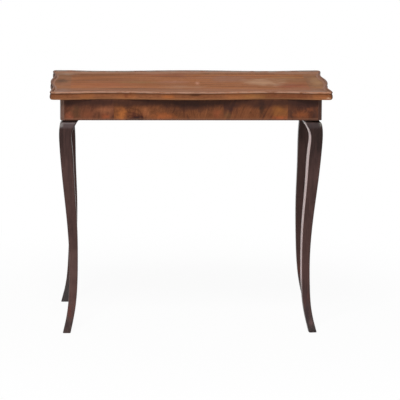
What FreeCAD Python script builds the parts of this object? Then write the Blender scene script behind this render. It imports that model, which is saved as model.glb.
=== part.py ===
"""Tray top tea table: serpentine walnut top with a raised rim, veneered frieze and four dark cabriole legs.

Millimetres, +Z up, front towards -Y. The origin is on the floor under the middle of the top.
"""
import FreeCAD, Part
import math
import os
import re
import Sketcher

# Driving dimensions. The top's length and depth are measured over its corners.
SIZES = {
    # top
    "top_length": 822,
    "top_depth": 500,
    "table_height": 720,
    "rim_height": 23.5,
    "rim_width": 13,
    "lip_height": 6,
    "veneer": 1.5,
    "crossband_width": 46,
    "inner_corner_radius": 2,
    # serpentine of the front and back: how far the edge dips and swells, and the dip's place from the corner
    "long_dip": 16,
    "long_swell": 1,
    "long_dip_place": 165,
    # serpentine of the two ends
    "short_dip": 7,
    "short_swell": 2.5,
    "short_dip_place": 107,
    # rim moulding: the nosing is fullest at a height above its underside and rounds in below it
    "nosing_height": 7,
    "nosing_undercut": 3.3,
    "bead_radius": 3,
    "bead_setback": 0.6,
    "quirk_angle": 70,
    "lip_angle": -20,
    "lip_cove_width": 1.4,
    "lip_cove_radius": 3,
    # frieze
    "frieze_height": 62,
    "end_overhang": 30,
    "side_overhang": 20,
    "quadrant_radius": 12,
    "rail_thickness": 20,
    "post_size": 55,
    "rail_tenon_length": 25,
    "rail_tenon_thickness": 8,
    "rail_tenon_setback": 7.5,
    "rail_tenon_shoulder": 10,
    "joint_clearance": 0.15,
    "first_leaf": 144,
    "third_leaf": 187,
    "last_leaf": 88,
    # leg: setback of its outer faces from the frieze, and width, at stations from the toe to the neck.
    # The lower stations stand at heights above the floor, the upper ones at drops below the frieze, and the three
    # between the ankle and the underside of the knee at shares of that stretch.
    "toe_setback": 5.8,
    "toe_width": 22.6,
    "instep_height": 30,
    "instep_setback": 12.9,
    "instep_width": 22.2,
    "shin_height": 75,
    "shin_setback": 20.4,
    "shin_width": 22.8,
    "ankle_height": 135,
    "ankle_setback": 24,
    "ankle_width": 24.5,
    "waist_share": 0.18,
    "waist_setback": 24.9,
    "waist_width": 25.3,
    "calf_share": 0.46,
    "calf_setback": 18.6,
    "calf_width": 29.6,
    "thigh_share": 0.75,
    "thigh_setback": 6.5,
    "thigh_width": 34.4,
    "under_knee_drop": 79,
    "under_knee_setback": -2,
    "under_knee_width": 37,
    "knee_drop": 34,
    "knee_setback": -3.2,
    "knee_width": 38.7,
    "shoulder_drop": 16,
    "shoulder_setback": -1.4,
    "shoulder_width": 45.2,
    "brow_drop": 8.5,
    "brow_setback": 1,
    "brow_width": 47,
    "collar_drop": 4.5,
    "collar_setback": 4.6,
    "collar_width": 46.4,
    "neck_setback": 6.5,
    "back_splay": 12.5,
    "back_tuck": 4,
    "arris_radius": 4.5,
    "leg_tenon_radius": 12,
    "leg_tenon_length": 44,
    # the one leg that stands turned in its socket, and whose socket is further in along the front
    "turned_leg_angle": 7.5,
    "turned_leg_shift": 3.4,
    # inside the frame
    "brace_width": 60,
    "brace_thickness": 20,
    "brace_housing": 6,
    "batten_width": 20,
    "glue_block_width": 18,
    "glue_block_length": 50,
    "glue_block_gap": 65,
    # screws
    "screw_bite": 8,
    "screw_shank": 4,
    "screw_head": 8,
    "screw_head_height": 2.4,
    "screw_clearance": 0.15,
    "screw_end_distance": 45,
}

# Sizes worked out from the driving ones.
DERIVED = {
    "tray_floor": "table_height - lip_height",
    "rim_bottom": "table_height - rim_height",
    "core_top": "table_height - lip_height - veneer",
    "frieze_bottom": "table_height - rim_height - frieze_height",
    "frieze_length": "top_length - 2 * end_overhang",
    "frieze_depth": "top_depth - 2 * side_overhang",
    "corner_radius": "rim_width + inner_corner_radius",
    "quirk_depth": "bead_setback + bead_radius - bead_radius * cos(quirk_angle)",
    "quirk_z": "table_height - bead_radius - bead_radius * sin(quirk_angle)",
    "nosing_z": "table_height - rim_height + nosing_height",
    "rail_back": "veneer + rail_thickness",
    "neck_width": "post_size - neck_setback",
    "post_middle": "(post_size + neck_setback) / 2",
    "leg_stretch": "table_height - rim_height - frieze_height - under_knee_drop - ankle_height",
    "first_block": "brace_width / 2 + glue_block_gap",
    "last_block": "(top_length - 2 * end_overhang) / 2 - post_size - glue_block_gap - glue_block_length",
    "screw_length": "brace_thickness + screw_bite",
    "screw_spacing": "(top_depth - 2 * side_overhang) / 2 - post_size - screw_end_distance",
    "batten_middle": "veneer + rail_thickness + batten_width / 2",
    "long_half": "top_length / 2",
    "long_reach": "top_depth / 2",
    "short_half": "top_depth / 2",
    "short_reach": "top_length / 2",
}

# A serpentine side is four arcs from its middle to its ear: the swell and the dip's inner half share one radius,
# the dip's outer half and the ear another, so that they run into each other smoothly.
for side in ("long", "short"):
    DERIVED.update({
        f"{side}_ear": f"{side}_half - corner_radius",
        f"{side}_dip_x": f"{side}_half - {side}_dip_place",
        f"{side}_ear_run": f"{side}_dip_place - corner_radius",
        f"{side}_rise": f"{side}_dip + {side}_swell",
        f"{side}_swell_radius": f"({side}_dip_x ^ 2 + {side}_rise ^ 2) / (4 * {side}_rise)",
        f"{side}_ear_radius": f"({side}_ear_run ^ 2 + {side}_dip ^ 2) / (4 * {side}_dip)",
        f"{side}_swell_sine": f"{side}_dip_x / (2 * {side}_swell_radius)",
        f"{side}_ear_sine": f"{side}_ear_run / (2 * {side}_ear_radius)",
        f"{side}_swell_cosine": f"1 - {side}_rise / (2 * {side}_swell_radius)",
        f"{side}_ear_cosine": f"1 - {side}_dip / (2 * {side}_ear_radius)",
    })

SIDE_ANGLES = {"front": 0, "right": 90, "back": 180, "left": 270}
SIDE_KINDS = {"front": "long", "right": "short", "back": "long", "left": "short"}
# Each corner's side in x and in y.
CORNERS = {"front_left": ("-", "-"), "front_right": ("", "-"), "back_right": ("", ""), "back_left": ("-", "")}
CORNER_ANGLES = {"front_left": 0, "front_right": 90, "back_right": 180, "back_left": 270}
TURNED_LEG = "front_right"
LEG_HEIGHTS = {
    "toe": "0",
    "instep": "instep_height",
    "shin": "shin_height",
    "ankle": "ankle_height",
    "waist": "(ankle_height + waist_share * leg_stretch)",
    "calf": "(ankle_height + calf_share * leg_stretch)",
    "thigh": "(ankle_height + thigh_share * leg_stretch)",
    "under_knee": "(frieze_bottom - under_knee_drop)",
    "knee": "(frieze_bottom - knee_drop)",
    "shoulder": "(frieze_bottom - shoulder_drop)",
    "brow": "(frieze_bottom - brow_drop)",
    "collar": "(frieze_bottom - collar_drop)",
    "neck": "frieze_bottom",
}

doc = FreeCAD.newDocument("tray_top_tea_table")
subparts = []


# ---------------------------------------------------------------- sheets and expressions

def bound(text):
    """Write a formula of plain size names as one that reads the two sheets."""
    def cell(match):
        name = match[0]
        if name in SIZES:
            return "sizes." + name
        return "derived." + name if name in DERIVED else name
    return re.sub(r"[a-z_]+", cell, str(text))


def add_sheet(name, rows):
    sheet = doc.addObject("Spreadsheet::Sheet", name)
    for row, (alias, value) in enumerate(rows.items(), 1):
        sheet.set(f"A{row}", alias)
        sheet.set(f"B{row}", value)
        sheet.setAlias(f"B{row}", alias)
    return sheet


sizes = add_sheet("sizes", {name: str(value) for name, value in SIZES.items()})
derived = add_sheet("derived", {name: "=" + bound(formula) for name, formula in DERIVED.items()})
doc.recompute()


def amount(text):
    """The present value of a formula of size names."""
    return float(derived.evalExpression(bound(text)))


def bind(thing, **formulas):
    for prop, formula in formulas.items():
        thing.setExpression(prop.replace("__", "."), bound(formula))


def seat(thing, x="0", y="0", z="0", angle="0"):
    """Place a thing by formulas, turned about the vertical."""
    turn = FreeCAD.Rotation(FreeCAD.Vector(0, 0, 1), amount(angle))
    thing.Placement = FreeCAD.Placement(FreeCAD.Vector(amount(x), amount(y), amount(z)), turn)
    bind(thing, Placement__Base__x=x, Placement__Base__y=y, Placement__Base__z=z, Placement__Rotation__Angle=angle)


def keep(thing, name):
    """Name a finished sub-part: its label becomes its file and node."""
    thing.Label = name
    subparts.append(thing)
    return thing


# ---------------------------------------------------------------- sketches

def plane(body, role):
    return next(feature for feature in body.Origin.OriginFeatures if feature.Role == role)


def arc_centre(start, end, radius, turn):
    """Centre of the short arc from start to end, anticlockwise when turn is 1."""
    chord = end - start
    height = math.sqrt(radius ** 2 - chord.Length ** 2 / 4)
    across = FreeCAD.Vector(-chord.y, chord.x, 0).normalize()
    return start + chord * 0.5 + across * (turn * height)


def draw(body, name, points, edges, role="XY_Plane", lift="0", closed=True):
    """Sketch a run of lines and arcs. points are (x, y) formulas, and each edge, from one point to the next, is None
    for a line or (radius formula, turn) for an arc. Every point and radius is bound to the sheets."""
    sketch = body.newObject("Sketcher::SketchObject", name)
    sketch.AttachmentSupport = [(plane(body, role), "")]
    sketch.MapMode = "FlatFace"
    bind(sketch, AttachmentOffset__Base__z=lift)
    spots = [FreeCAD.Vector(amount(x), amount(y), 0) for x, y in points]
    ends = []
    for index, edge in enumerate(edges):
        start = spots[index]
        end = spots[(index + 1) % len(spots)]
        if edge is None:
            sketch.addGeometry(Part.LineSegment(start, end), False)
            ends.append((1, 2))
            continue
        radius, turn = edge
        centre = arc_centre(start, end, amount(radius), turn)
        low, high = (start, end) if turn > 0 else (end, start)
        circle = Part.Circle(centre, FreeCAD.Vector(0, 0, 1), amount(radius))
        first = math.atan2(low.y - centre.y, low.x - centre.x)
        last = math.atan2(high.y - centre.y, high.x - centre.x)
        sketch.addGeometry(Part.ArcOfCircle(circle, first, last), False)
        ends.append((1, 2) if turn > 0 else (2, 1))
    joints = len(edges) if closed else len(edges) - 1
    for index in range(joints):
        after = (index + 1) % len(edges)
        sketch.addConstraint(Sketcher.Constraint("Coincident", index, ends[index][1], after, ends[after][0]))
    for index, (x, y) in enumerate(points):
        edge, vertex = (index, ends[index][0]) if index < len(edges) else (index - 1, ends[index - 1][1])
        for kind, formula in (("DistanceX", x), ("DistanceY", y)):
            number = sketch.addConstraint(Sketcher.Constraint(kind, -1, 1, edge, vertex, amount(formula)))
            if formula != "0":
                sketch.setExpression(f"Constraints[{number}]", bound(formula))
    for index, edge in enumerate(edges):
        if edge is not None:
            number = sketch.addConstraint(Sketcher.Constraint("Radius", index, amount(edge[0])))
            sketch.setExpression(f"Constraints[{number}]", bound(edge[0]))
    return sketch


def rectangle(x_low, x_high, y_low, y_high):
    return [(x_low, y_low), (x_high, y_low), (x_high, y_high), (x_low, y_high)], [None] * 4


def rounded_square(setback, width, radius):
    """Square of the given width from setback on both axes, with rounded corners."""
    low = f"({setback})"
    low_in = f"({setback} + {radius})"
    high = f"({setback} + {width})"
    high_in = f"({setback} + {width} - {radius})"
    points = [(low_in, low), (high_in, low), (high, low_in), (high, high_in),
              (high_in, high), (low_in, high), (low, high_in), (low, low_in)]
    return points, [None, (radius, 1)] * 4


def serpentine(side, inset):
    """Half of a side's curve, from its middle to its ear, moved inwards by inset. The side faces -Y.
    Each point moves along the curve's normal, so curves of different insets are parallel."""
    edge = f"(-{side}_reach)"
    points = [
        ("0", f"{edge} - {side}_swell + {inset}"),
        (f"{side}_dip_x / 2 - {inset} * {side}_swell_sine",
         f"{edge} + ({side}_dip - {side}_swell) / 2 + {inset} * {side}_swell_cosine"),
        (f"{side}_dip_x", f"{edge} + {side}_dip + {inset}"),
        (f"{side}_dip_x + {side}_ear_run / 2 + {inset} * {side}_ear_sine",
         f"{edge} + {side}_dip / 2 + {inset} * {side}_ear_cosine"),
        (f"{side}_ear", f"{edge} + {inset}"),
    ]
    edges = [(f"{side}_swell_radius - {inset}", 1), (f"{side}_swell_radius + {inset}", -1),
             (f"{side}_ear_radius + {inset}", -1), (f"{side}_ear_radius - {inset}", 1)]
    return points, edges


def to_mitre(side, inset):
    """The same half curve, carried round to the middle of the rounded corner, where the mitre is."""
    points, edges = serpentine(side, inset)
    reach = f"(corner_radius - {inset}) * sin(45)"
    points.append((f"{side}_ear + {reach}", f"corner_radius - {side}_reach - {reach}"))
    return points, edges + [(f"corner_radius - {inset}", 1)]


# ---------------------------------------------------------------- features

def new_body(name):
    return doc.addObject("PartDesign::Body", name)


def pad(body, name, outline, height, lift="0"):
    feature = body.newObject("PartDesign::Pad", name)
    feature.Profile = draw(body, name + "_outline", *outline, lift=lift)
    bind(feature, Length=height)
    return feature


def mirror(body, name, original, role="YZ_Plane"):
    feature = body.newObject("PartDesign::Mirrored", name)
    feature.Originals = [original]
    feature.MirrorPlane = (plane(body, role), [""])
    body.Tip = feature
    return feature


def block(name, x, y, z):
    """Box between two formulas on each axis."""
    box = doc.addObject("Part::Box", name)
    bind(box, Length=f"({x[1]}) - ({x[0]})", Width=f"({y[1]}) - ({y[0]})", Height=f"({z[1]}) - ({z[0]})")
    seat(box, x[0], y[0], z[0])
    return box


def boolean(kind, name, *shapes):
    """Part::Cut, Part::Common or Part::MultiFuse of the given things."""
    feature = doc.addObject("Part::" + kind, name)
    if kind == "MultiFuse":
        feature.Shapes = list(shapes)
    else:
        feature.Base, feature.Tool = shapes
    return feature


# ---------------------------------------------------------------- screws

def screws(name, clearance):
    """Nine countersunk screws standing head down: three along the brace and three along each batten."""
    body = new_body(name)
    shank = f"screw_shank / 2 + {clearance}"
    head = f"screw_head / 2 + {clearance}"
    foot = "rim_bottom - brace_thickness"
    points = [("0", foot), (head, foot), (shank, f"{foot} + screw_head_height"),
              (shank, f"{foot} + screw_length + {clearance}"), ("0", f"{foot} + screw_length + {clearance}")]
    profile = draw(body, name + "_profile", points, [None] * 5, role="XZ_Plane")
    feature = body.newObject("PartDesign::Revolution", name + "_turned")
    feature.Profile = profile
    feature.ReferenceAxis = (profile, ["V_Axis"])
    feature.Angle = 360
    spread = body.newObject("PartDesign::MultiTransform", name + "_spread")
    spread.Originals = [feature]
    rows = []
    for axis, length in (("X_Axis", "frieze_length - 2 * batten_middle"), ("Y_Axis", "2 * screw_spacing")):
        row = body.newObject("PartDesign::LinearPattern", f"{name}_{axis[0].lower()}")
        row.Direction = (plane(body, axis), [""])
        row.Occurrences = 3
        bind(row, Length=length)
        rows.append(row)
    spread.Transformations = rows
    body.Tip = spread
    seat(body, "batten_middle - frieze_length / 2", "-screw_spacing")
    return body


screw_holes = screws("screw_holes", "screw_clearance")
keep(screws("screws", "0"), "top_screws")


# ---------------------------------------------------------------- top

def core_blank():
    """Whole outline of the core, one quarter mirrored twice."""
    body = new_body("core_blank")
    points, edges = serpentine("long", "rim_width")
    end_points, end_edges = serpentine("short", "rim_width")
    edges.append(("corner_radius - rim_width", 1))
    points += [(f"-({y})", f"-({x})") for x, y in reversed(end_points)]
    edges += reversed(end_edges)
    points.append(("0", "0"))
    edges += [None, None]
    quarter = pad(body, "core_quarter", (points, edges), "core_top - rim_bottom", lift="rim_bottom")
    whole = body.newObject("PartDesign::MultiTransform", "core_whole")
    whole.Originals = [quarter]
    halves = []
    for role in ("YZ_Plane", "XZ_Plane"):
        half = body.newObject("PartDesign::Mirrored", "core_mirror_" + role[:2].lower())
        half.MirrorPlane = (plane(body, role), [""])
        halves.append(half)
    whole.Transformations = halves
    body.Tip = whole
    return body


def top_boards():
    """Three equal boards, glued edge to edge, with the screws' pilot holes."""
    blank = core_blank()
    for index, name in enumerate(("front", "middle", "back")):
        low = f"top_depth / 3 * {index} - long_reach"
        high = f"top_depth / 3 * {index + 1} - long_reach"
        strip = block(name + "_strip", ("-top_length", "top_length"), (low, high), ("0", "table_height"))
        board = boolean("Common", name + "_sawn", blank, strip)
        keep(boolean("Cut", name + "_drilled", board, screw_holes), f"top_board_{name}")


def field_veneer():
    border = "(rim_width + crossband_width)"
    x = (f"{border} - long_half", f"long_half - {border}")
    y = (f"{border} - long_reach", f"long_reach - {border}")
    keep(block("field", x, y, ("core_top", "tray_floor")), "field_veneer")


def crossband(side):
    """Mitred border veneer between the field and the rim."""
    kind = SIDE_KINDS[side]
    body = new_body("crossband_" + side)
    points, edges = to_mitre(kind, "rim_width")
    inner = f"rim_width + crossband_width - {kind}_reach"
    points += [(f"{kind}_half - rim_width - crossband_width", inner), ("0", inner)]
    half = pad(body, "band_half_" + side, (points, edges + [None] * 3), "veneer", lift="core_top")
    mirror(body, "band_whole_" + side, half)
    seat(body, angle=SIDE_ANGLES[side])
    keep(body, "crossband_" + side)


def rim_profile(kind):
    """Section of the rim where it crosses the middle of its side: flat inner face and bottom, nosing, quirk, bead,
    a small cove and a flat at the tray's floor. The nosing's two arcs are upright where they meet, at its fullest
    point."""
    face = f"(-{kind}_reach - {kind}_swell)"
    inner = f"{face} + rim_width"
    bead_y = f"{face} + bead_setback + bead_radius"
    lip_y = f"{bead_y} + bead_radius * cos(lip_angle)"
    points = [
        (inner, "rim_bottom"),
        (f"{face} + nosing_undercut", "rim_bottom"),
        (face, "nosing_z"),
        (f"{face} + quirk_depth", "quirk_z"),
        (bead_y, "table_height"),
        (lip_y, "table_height - bead_radius + bead_radius * sin(lip_angle)"),
        (f"{lip_y} + lip_cove_width", "tray_floor"),
        (inner, "tray_floor"),
    ]
    under = "(nosing_undercut ^ 2 + nosing_height ^ 2) / (2 * nosing_undercut)"
    over = "(quirk_depth ^ 2 + (quirk_z - nosing_z) ^ 2) / (2 * quirk_depth)"
    edges = [None, (under, -1), (over, -1), ("bead_radius", -1), ("bead_radius", -1), ("lip_cove_radius", 1), None,
             None]
    return points, edges


def rim(side):
    """Serpentine rim moulding: half is swept from the middle of the side to the corner's mitre, then mirrored."""
    kind = SIDE_KINDS[side]
    body = new_body("rim_" + side)
    sweep = body.newObject("PartDesign::AdditivePipe", "rim_half_" + side)
    path = draw(body, "rim_path_" + side, *to_mitre(kind, "0"), closed=False)
    sweep.Profile = draw(body, "rim_section_" + side, *rim_profile(kind), role="YZ_Plane")
    sweep.Spine = (path, [f"Edge{number}" for number in range(1, 6)])
    mirror(body, "rim_whole_" + side, sweep)
    seat(body, angle=SIDE_ANGLES[side])
    keep(body, "rim_" + side)


top_boards()
field_veneer()
for side in SIDE_ANGLES:
    crossband(side)
    rim(side)


# ---------------------------------------------------------------- frame inside the frieze

def battens_and_brace():
    """Cross brace let into the long rails, and a batten along each end rail, drilled for the top's screws."""
    z = ("rim_bottom - brace_thickness", "rim_bottom")
    reach = "frieze_depth / 2 - rail_back + brace_housing"
    brace = block("brace_blank", ("-brace_width / 2", "brace_width / 2"), (f"-({reach})", reach), z)
    keep(boolean("Cut", "brace_drilled", brace, screw_holes), "cross_brace")
    reach = "frieze_depth / 2 - post_size"
    for name, low in (("left", "rail_back - frieze_length / 2"),
                      ("right", "frieze_length / 2 - rail_back - batten_width")):
        blank = block(f"batten_blank_{name}", (low, f"{low} + batten_width"), (f"-({reach})", reach), z)
        keep(boolean("Cut", f"batten_drilled_{name}", blank, screw_holes), f"end_batten_{name}")


def glue_blocks():
    """Eight blocks rubbed into the angle of the long rails and the top: one pad, repeated along and mirrored twice."""
    body = new_body("blocks")
    outline = rectangle("first_block", "first_block + glue_block_length",
                        "rail_back - frieze_depth / 2", "rail_back - frieze_depth / 2 + glue_block_width")
    first = pad(body, "first_block", outline, "glue_block_width", lift="rim_bottom - glue_block_width")
    spread = body.newObject("PartDesign::MultiTransform", "block_spread")
    spread.Originals = [first]
    row = body.newObject("PartDesign::LinearPattern", "block_row")
    row.Direction = (plane(body, "X_Axis"), [""])
    row.Occurrences = 2
    bind(row, Length="last_block - first_block")
    steps = [row]
    for role in ("YZ_Plane", "XZ_Plane"):
        step = body.newObject("PartDesign::Mirrored", "block_mirror_" + role[:2].lower())
        step.MirrorPlane = (plane(body, role), [""])
        steps.append(step)
    spread.Transformations = steps
    body.Tip = spread
    keep(body, "glue_blocks")


def rail(side):
    """Softwood rail with a stub tenon at each end. The long ones are housed for the cross brace."""
    length, reach = ("frieze_length", "frieze_depth / 2") if SIDE_KINDS[side] == "long" else (
        "frieze_depth", "frieze_length / 2")
    half = f"({length} / 2 - post_size)"
    body = new_body("rail_body_" + side)
    front = f"veneer - {reach}"
    outline = rectangle(f"-{half}", half, front, f"{front} + rail_thickness")
    pad(body, "rail_wood_" + side, outline, "frieze_height", lift="frieze_bottom")
    tip = f"({half} + rail_tenon_length)"
    tenon_front = f"rail_tenon_setback - {reach}"
    outline = rectangle(f"-{tip}", tip, tenon_front, f"{tenon_front} + rail_tenon_thickness")
    pad(body, "tenons_" + side, outline, "frieze_height - 2 * rail_tenon_shoulder",
        lift="frieze_bottom + rail_tenon_shoulder")
    if SIDE_KINDS[side] == "long":
        hole = body.newObject("PartDesign::Pocket", "housing_" + side)
        width = "(brace_width / 2 + joint_clearance)"
        outline = rectangle(f"-{width}", width, f"rail_back - brace_housing - joint_clearance - {reach}",
                            f"rail_back - {reach}")
        hole.Profile = draw(body, "housing_outline_" + side, *outline, lift="rim_bottom")
        bind(hole, Length="brace_thickness + joint_clearance")
    seat(body, angle=SIDE_ANGLES[side])
    keep(body, "rail_" + side)


def leg_socket(name):
    """Round hole up from the post's foot for the leg's tenon."""
    hole = doc.addObject("Part::Cylinder", "leg_socket_" + name)
    bind(hole, Radius="leg_tenon_radius + joint_clearance", Height="leg_tenon_length + joint_clearance")
    inwards = "post_middle + turned_leg_shift" if name == TURNED_LEG else "post_middle"
    seat(hole, "post_middle", inwards, "frieze_bottom")
    return hole


def corner_post(name, x, y, angle):
    """Post in the frieze's corner, in its own frame: the corner is at its origin, the post towards +X and +Y.
    Its outer corner is notched for the quadrant, and it is mortised for two rails and the leg."""
    body = new_body("post_body_" + name)
    points = [("quadrant_radius", "veneer"), ("post_size", "veneer"), ("post_size", "post_size"),
              ("veneer", "post_size"), ("veneer", "quadrant_radius"), ("quadrant_radius", "quadrant_radius")]
    pad(body, "post_wood_" + name, (points, [None] * 6), "frieze_height", lift="frieze_bottom")
    across = ("rail_tenon_setback - joint_clearance",
              "rail_tenon_setback + rail_tenon_thickness + joint_clearance")
    along = ("post_size - rail_tenon_length - joint_clearance", "2 * post_size")
    up = ("frieze_bottom + rail_tenon_shoulder - joint_clearance",
          "rim_bottom - rail_tenon_shoulder + joint_clearance")
    holes = boolean(
        "MultiFuse", "post_holes_" + name,
        block("long_mortise_" + name, along, across, up),
        block("short_mortise_" + name, across, along, up),
        leg_socket(name),
    )
    post = boolean("Cut", "post_cut_" + name, body, holes)
    seat(post, f"{x}frieze_length / 2", f"{y}frieze_depth / 2", angle=angle)
    keep(post, "corner_post_" + name)


def quadrant(name, x, y, angle):
    """Quarter round that finishes the frieze's corner, in the same frame as the post."""
    body = new_body("quadrant_body_" + name)
    points = [("quadrant_radius", "quadrant_radius"), ("0", "quadrant_radius"), ("quadrant_radius", "0")]
    pad(body, "quarter_round_" + name, (points, [None, ("quadrant_radius", 1), None]), "frieze_height",
        lift="frieze_bottom")
    seat(body, f"{x}frieze_length / 2", f"{y}frieze_depth / 2", angle=angle)
    keep(body, "quadrant_" + name)


def frieze_veneers():
    """The front is four leaves laid side by side; the back and the ends are one leaf each."""
    z = ("frieze_bottom", "rim_bottom")
    start = "quadrant_radius - frieze_length / 2"
    front = ("-frieze_depth / 2", "veneer - frieze_depth / 2")
    seams = [start, f"{start} + first_leaf", f"-({start}) - last_leaf - third_leaf", f"-({start}) - last_leaf",
             f"-({start})"]
    for number, (low, high) in enumerate(zip(seams, seams[1:]), 1):
        keep(block(f"leaf_{number}", (low, high), front, z), f"frieze_veneer_front_{number}")
    back = ("frieze_depth / 2 - veneer", "frieze_depth / 2")
    keep(block("leaf_back", (start, f"-({start})"), back, z), "frieze_veneer_back")
    along = ("quadrant_radius - frieze_depth / 2", "frieze_depth / 2 - quadrant_radius")
    left = ("-frieze_length / 2", "veneer - frieze_length / 2")
    right = ("frieze_length / 2 - veneer", "frieze_length / 2")
    keep(block("leaf_left", left, along, z), "frieze_veneer_left")
    keep(block("leaf_right", right, along, z), "frieze_veneer_right")


# ---------------------------------------------------------------- legs

def leg(name, x, y, angle):
    """Cabriole leg of square section, lofted through its stations, with a round tenon up into the post.
    Its origin is the tenon's axis: setbacks are measured from the frieze's two outer faces. Below its neck a back
    leg leans, from the tuck at the frieze to the splay at the floor."""
    body = new_body("leg_body_" + name)
    sections = []
    for station, height in LEG_HEIGHTS.items():
        setback = f"{station}_setback - post_middle"
        if name.startswith("back") and station != "neck":
            setback += f" + back_tuck - (back_tuck + back_splay) * (1 - {height} / frieze_bottom)"
        outline = rounded_square(setback, f"{station}_width", "arris_radius")
        sections.append(draw(body, f"{station}_{name}", *outline, lift=height))
    loft = body.newObject("PartDesign::AdditiveLoft", "leg_loft_" + name)
    loft.Profile = sections[0]
    loft.Sections = sections[1:]
    pin = body.newObject("PartDesign::AdditiveCylinder", "leg_tenon_" + name)
    pin.AttachmentSupport = [(plane(body, "XY_Plane"), "")]
    pin.MapMode = "FlatFace"
    bind(pin, Radius="leg_tenon_radius", Height="leg_tenon_length", AttachmentOffset__Base__z="frieze_bottom")
    inwards, turn = "post_middle", f"{angle}"
    if name == TURNED_LEG:
        inwards, turn = "post_middle + turned_leg_shift", f"{angle} + turned_leg_angle"
    seat(body, f"{x}(frieze_length / 2 - ({inwards}))", f"{y}(frieze_depth / 2 - post_middle)", angle=turn)
    keep(body, "leg_" + name)


battens_and_brace()
glue_blocks()
for side in SIDE_ANGLES:
    rail(side)
for corner, (x, y) in CORNERS.items():
    corner_post(corner, x, y, CORNER_ANGLES[corner])
    quadrant(corner, x, y, CORNER_ANGLES[corner])
    leg(corner, x, y, CORNER_ANGLES[corner])
frieze_veneers()
doc.recompute()


# ---------------------------------------------------------------- check and write

for thing in doc.Objects:
    if {"Invalid", "Error"} & set(thing.State):
        raise RuntimeError(f"{thing.Name} failed: {thing.State}")
for part in subparts:
    if part.Shape.isNull() or not part.Shape.isValid() or not part.Shape.Solids:
        raise RuntimeError(f"{part.Label} has no valid solid")

os.makedirs("parts", exist_ok=True)
for part in subparts:
    part.Shape.exportStep(f"parts/{part.Label}.step")
    print(f"{part.Label}: {len(part.Shape.Solids)} solid(s), {part.Shape.Volume / 1000:.1f} cm3")
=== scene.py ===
"""Finishes of the tray top tea table, and its studio: polished walnut, dark stained legs, bare pine."""
import math

import bpy
import numpy as np
from mathutils import Matrix, Vector

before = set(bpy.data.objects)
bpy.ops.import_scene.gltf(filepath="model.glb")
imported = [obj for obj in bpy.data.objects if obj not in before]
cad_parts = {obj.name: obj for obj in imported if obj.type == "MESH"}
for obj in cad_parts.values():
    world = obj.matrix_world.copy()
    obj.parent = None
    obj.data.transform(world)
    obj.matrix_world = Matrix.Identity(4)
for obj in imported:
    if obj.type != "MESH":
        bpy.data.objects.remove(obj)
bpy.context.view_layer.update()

bl_info = {
    "name": "Tray Top Tea Table",
    "version": (1, 0, 0),
    "blender": (4, 5, 0),
    "location": "3D View > Sidebar > Tea Table",
    "description": "Finishes a serpentine walnut tea table with dark cabriole legs",
    "category": "Object",
}

MM = 0.001

# Facets that meet closer than this, in metres, are joined, and shade smoothly up to this angle.
WELD_DISTANCE = 1e-6
ARRIS_ANGLE = math.radians(32)


def linear(colour):
    """An sRGB hex colour as linear red, green, blue and alpha."""
    parts = np.array([int(colour[i:i + 2], 16) for i in (1, 3, 5)]) / 255
    parts = np.where(parts <= 0.04045, parts / 12.92, ((parts + 0.055) / 1.055) ** 2.4)
    return (*parts.tolist(), 1.0)


WHITE = linear("#ffffff")


# ---------------------------------------------------------------- settings

class TableWoods(bpy.types.PropertyGroup):
    """Colours and grain sizes of the table's woods."""
    field_colour: bpy.props.FloatVectorProperty(
        name="Field", description="Middle tone of the top's straight grained walnut",
        subtype="COLOR", size=4, min=0, max=1, default=linear("#955b35"))
    band_colour: bpy.props.FloatVectorProperty(
        name="Crossband", description="Middle tone of the cross-laid border",
        subtype="COLOR", size=4, min=0, max=1, default=linear("#8d5c3b"))
    # Its colour is a painted sheen: the pale hazy tone along the top's front and back edges.
    painted_sheen_colour: bpy.props.FloatVectorProperty(
        name="Haze", description="Tone of the dulled polish along the top's edges",
        subtype="COLOR", size=4, min=0, max=1, default=linear("#866350"))
    rim_colour: bpy.props.FloatVectorProperty(
        name="Rim", description="Middle tone of the moulded walnut rim",
        subtype="COLOR", size=4, min=0, max=1, default=linear("#855337"))
    leg_colour: bpy.props.FloatVectorProperty(
        name="Leg stain", description="Middle tone of the dark stained legs",
        subtype="COLOR", size=4, min=0, max=1, default=linear("#3b2926"))
    pine_colour: bpy.props.FloatVectorProperty(
        name="Pine", description="Middle tone of the bare pine inside",
        subtype="COLOR", size=4, min=0, max=1, default=linear("#a5835a"))
    streak_width: bpy.props.FloatProperty(
        name="Walnut streak", description="Width of one streak of the walnut's grain",
        subtype="DISTANCE", unit="LENGTH", min=0.001, max=0.05, default=0.009)
    pore_length: bpy.props.FloatProperty(
        name="Walnut pore", description="Length of a pore's dark dash along the walnut's grain",
        subtype="DISTANCE", unit="LENGTH", min=0.002, max=0.05, default=0.014)
    ring_width: bpy.props.FloatProperty(
        name="Pine ring", description="Width of one yearly ring of the pine",
        subtype="DISTANCE", unit="LENGTH", min=0.001, max=0.02, default=0.005)


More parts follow.
